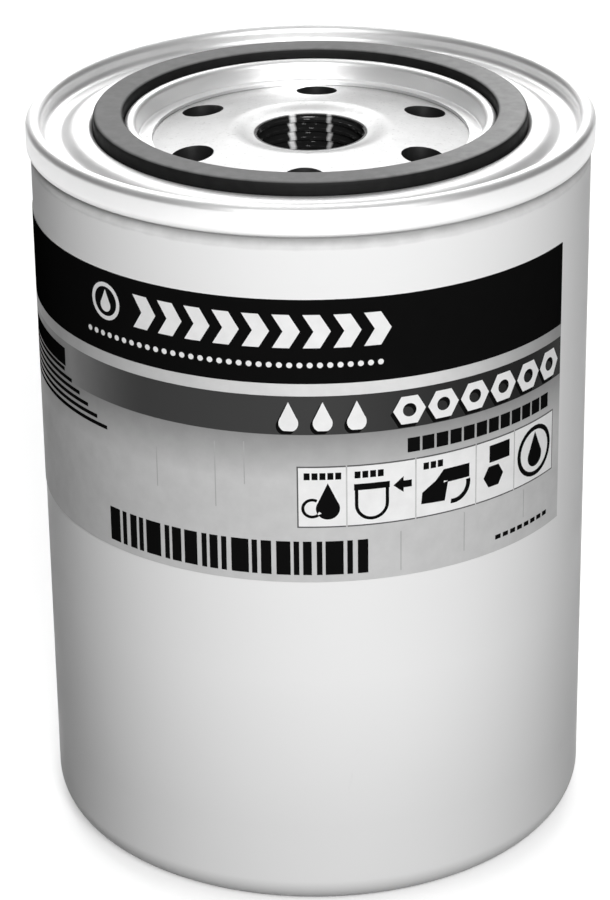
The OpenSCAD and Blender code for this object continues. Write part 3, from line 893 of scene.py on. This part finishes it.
def wrap(name, loops, lift, thickness, material):
    """Wraps flat shapes on to the can, as a film of some thickness, lifted off it. Each loop
    is a list of (mm round, mm up). A loop inside another is a hole."""
    bm = bmesh.new()
    for loop in loops:
        verts = [bm.verts.new((u, 0, z)) for u, z in loop]
        for a, b in zip(verts, verts[1:] + verts[:1]):
            bm.edges.new((a, b))
    bmesh.ops.triangle_fill(bm, edges=bm.edges, use_beauty=True, normal=(0, -1, 0))
    low = min(v.co.x for v in bm.verts)
    high = max(v.co.x for v in bm.verts)
    step = round_can(1.5)
    first = math.ceil(low / step)
    for k in range(first, math.floor(high / step) + 1):
        everything = list(bm.verts) + list(bm.edges) + list(bm.faces)
        bmesh.ops.bisect_plane(bm, geom=everything, plane_co=(k * step, 0, 0),
                               plane_no=(1, 0, 0), dist=1e-5)
    raised = bmesh.ops.extrude_face_region(bm, geom=list(bm.faces), use_keep_orig=True)
    for v in raised["geom"]:
        if isinstance(v, bmesh.types.BMVert):
            v.co.y = thickness
    for v in bm.verts:
        turn = v.co.x / CAN_R
        r = CAN_R + lift + v.co.y
        v.co = Vector((r * math.sin(turn), -r * math.cos(turn), v.co.z)) * MM
    return finish_mesh(name, bm, material, "housing", ())


def box_loop(u0, u1, z0, z1):
    return [(u0, z0), (u1, z0), (u1, z1), (u0, z1)]


def dashes(start, step, width, count, z0, z1):
    """A row of equal blocks."""
    return [box_loop(start + step * k, start + step * k + width, z0, z1) for k in range(count)]


def disc(u, z, r, n=28):
    return [(u + r * math.cos(2 * math.pi * k / n), z + r * math.sin(2 * math.pi * k / n))
            for k in range(n)]


def drop(u, z, height):
    """An oil drop: a round foot under a point."""
    r = height * 0.3
    sides = [math.radians(a) for a in range(-215, 36, 10)]
    foot = [(u + r * math.cos(a), z - height / 2 + r + r * math.sin(a)) for a in sides]
    return foot + [(u, z + height / 2)]


def band(points, t):
    """A stroke of thickness t along a line of points."""
    sides = []
    for way in (1, -1):
        row = []
        for i, (u, z) in enumerate(points):
            a, b = points[max(i - 1, 0)], points[min(i + 1, len(points) - 1)]
            d = Vector((b[0] - a[0], b[1] - a[1])).normalized()
            row.append((u - way * t / 2 * d.y, z + way * t / 2 * d.x))
        sides.append(row)
    return sides[0] + sides[1][::-1]


def make_label():
    left, right = round_can(LABEL_START), round_can(LABEL_END)
    first = FILM_IN + FILM_T + 0.008
    second = first + INK_T + 0.01
    third = second + INK_T + 0.01
    white, black = ink("ink_white", 0.8), ink("ink_black", 0.005, 0)

    film = wrap("label_film", [box_loop(left, right, LABEL_LOW, LABEL_HIGH)], FILM_IN, FILM_T,
                printed_film(0.54, 0.045))
    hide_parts("label_wrap")
    wrap("label_black_band", [box_loop(left, right, STRIPE_HIGH, LABEL_HIGH)], first, INK_T,
         black)
    wrap("label_pale_stripe", [box_loop(left, right, BAND_HIGH, STRIPE_HIGH)], first, INK_T,
         fading_stripe())

    aside, above = 0.12, 0.25  # the frame's line beside and above a picture
    sides = [round_can(a) for a in PICTURE_EDGES]
    spans = list(zip(sides, sides[1:]))
    frames = [box_loop(a - aside, b + aside, PICTURE_LOW - above, PICTURE_HIGH + above)
              for a, b in spans]
    wrap("label_panel_frames", frames, first, INK_T, ink("ink_frame", 0.1))
    wrap("label_panels", [box_loop(a + aside, b - aside, PICTURE_LOW, PICTURE_HIGH)
                          for a, b in spans], second, INK_T, white)
    wrap("label_pictograms", pictograms([(a + b) / 2 for a, b in spans]), third, INK_T, black)
    wrap("label_emblem", emblem(), second, INK_T, white)
    wrap("label_icon_shadows", band_icons(-0.45, -0.55), first, INK_T, black)
    wrap("label_band_icons", band_icons(0, 0), second, INK_T, white)
    wrap("label_bars", bars(), first, INK_T, black)
    wrap("label_rules", rules(), first, INK_T, black)
    wrap("label_hairlines", hairlines(), first, INK_T, ink("ink_hairline", 0.4))


def emblem():
    """A drop in a ring, a row of chevrons and a dotted rule, white on the black band."""
    u, z = round_can(-45), 105.7
    shapes = [disc(u, z, 3.2), disc(u, z, 2.5), drop(u, z + 0.1, 3.8)]
    for k in range(9):
        left = round_can(-37.5) + k * 4.8
        shapes.append([(left, 102.9), (left + 2.7, 102.9), (left + 4.4, 105.7),
                       (left + 2.7, 108.5), (left, 108.5), (left + 1.7, 105.7)])
    shapes += [disc(round_can(-50) + 1.6 * k, 100.0, 0.48, 12) for k in range(33)]
    return shapes


def band_icons(aside, down):
    """Three drops and a row of nuts on the grey band."""
    low, z = down + BAND_LOW, down + 91.1
    shapes = [drop(round_can(-5) + 5.4 * k + aside, z, 5.2) for k in range(3)]
    for k in range(6):
        u = round_can(18.9) + 5.9 * k + aside
        shapes += [disc(u, z, 2.75, 6), disc(u, z, 1.15)]
    return [[(u, max(v, low + 0.7)) for u, v in shape] for shape in shapes]


def pictograms(mids):
    """Fitting steps: oil the ring, offer up the filter, turn it, tighten it, check for drips."""
    a, b, c, d, e = mids
    heads = [box for start, count in ((a - 2.9, 5), (b - 4.4, 4), (c - 4.2, 3))
             for box in dashes(start, 1.25, 0.95, count, 80.2, 81.4)]
    oil = [drop(a + 0.9, 76.4, 6.4), band(arc(a - 1.6, 75.2, 1.5, 60, 330, 20), 0.5)]
    bowl = [(b - 4.1, 78.2)] + arc(b - 1.6, 75.5, 2.5, 180, 360, 14) + [(b + 0.9, 78.2)]
    arrow = [(b + 1.9, 78.3), (b + 3.6, 79.7), (b + 3.6, 78.9), (b + 5.0, 78.9),
             (b + 5.0, 77.7), (b + 3.6, 77.7), (b + 3.6, 76.9)]
    offer = [box_loop(b - 4.5, b + 1.3, 78.1, 79.2), band(bowl, 0.55), arrow]
    hand = [(c - 4.6, 74.2), (c - 0.4, 74.0), (c + 0.2, 77.4), (c - 2.0, 77.9), (c - 4.4, 76.2)]
    turn = [box_loop(c - 0.6, c + 4.2, 77.2, 79.6), hand,
            band(arc(c + 1.2, 76.4, 2.8, -100, 10, 20), 0.8)]
    tighten = [box_loop(d - 1.4, d + 3.0, 78.4, 81.4), disc(d - 0.5, 75.9, 2.1, 6)]
    check = [disc(e, 77.1, 4.5), disc(e, 77.1, 3.7), drop(e, 77.4, 6.2)]
    return heads + oil + offer + turn + tighten + check


def bars():
    """A row of plain upright bars."""
    shapes = []
    u, end, k = round_can(-46), round_can(11.5), 0
    while True:
        width = (2.3, 0.9, 1.4, 0.9, 2.9, 0.9, 1.7)[k % 7]
        if u + width > end:
            return shapes
        shapes.append(box_loop(u, u + width, 63.3, 69.3))
        u += width + (0.6, 0.8, 0.5)[k % 3]
        k += 1


def rules():
    """Ruled lines, dashes and blocks."""
    shapes = dashes(round_can(18.5), 2.5, 2.1, 12, 83.7, 86.2)
    shapes.append(box_loop(round_can(-82), round_can(-60.5), 90.2, 93.4))
    for row in range(6):
        z = 89.2 - 1.25 * row
        shapes.append(box_loop(round_can(-84), round_can(-61 + 3 * row), z, z + 0.68))
    return shapes + dashes(round_can(39), 1.7, 1.2, 8, 64.1, 64.9)


def hairlines():
    """Faint upright lines in the film's ground."""
    return [box_loop(round_can(a), round_can(a) + 0.18, low, high)
            for a, low, high in ((-33, 76, 83), (-20, 74.5, 86), (-14, 79, 86.5), (17, 63, 70),
                                 (31, 64, 71), (47, 66, 71))]


# ---------------------------------------------------------------- the parts kept from CAD
def dress(node, material):
    """Gives a CAD node its material and smooth shading."""
    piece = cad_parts[node]
    piece.data.materials.clear()
    piece.data.materials.append(material)
    bm = bmesh.new()
    bm.from_mesh(piece.data)
    soften(bm, 32)
    bm.to_mesh(piece.data)
    bm.free()


def dress_inside():
    plating, tube = yellow_plating(), plain_steel("tube_steel", 0.70, 1.0, (0.28, 0.48))
    resin, paper = potting_resin(), filter_paper()
    for node in ("top_end_cap", "bottom_end_cap"):
        dress(node, plating)
    for node in ("top_potting", "bottom_potting"):
        dress(node, resin)
    for node in ("center_tube", "media_seam_clip", "bypass_seat", "bypass_poppet",
                 "bypass_retainer"):
        dress(node, tube)
    dress("pleated_media", paper)
    dress("bypass_seal", rubber("seal_rubber", 0.03, 0.05))
    dress("seam_compound", seam_paste())


make_camera()
make_stage()
make_can()
make_lid()
make_plate()
make_gasket()
make_valve()
make_dome_spring()
make_bypass_spring()
make_label()
dress_inside()
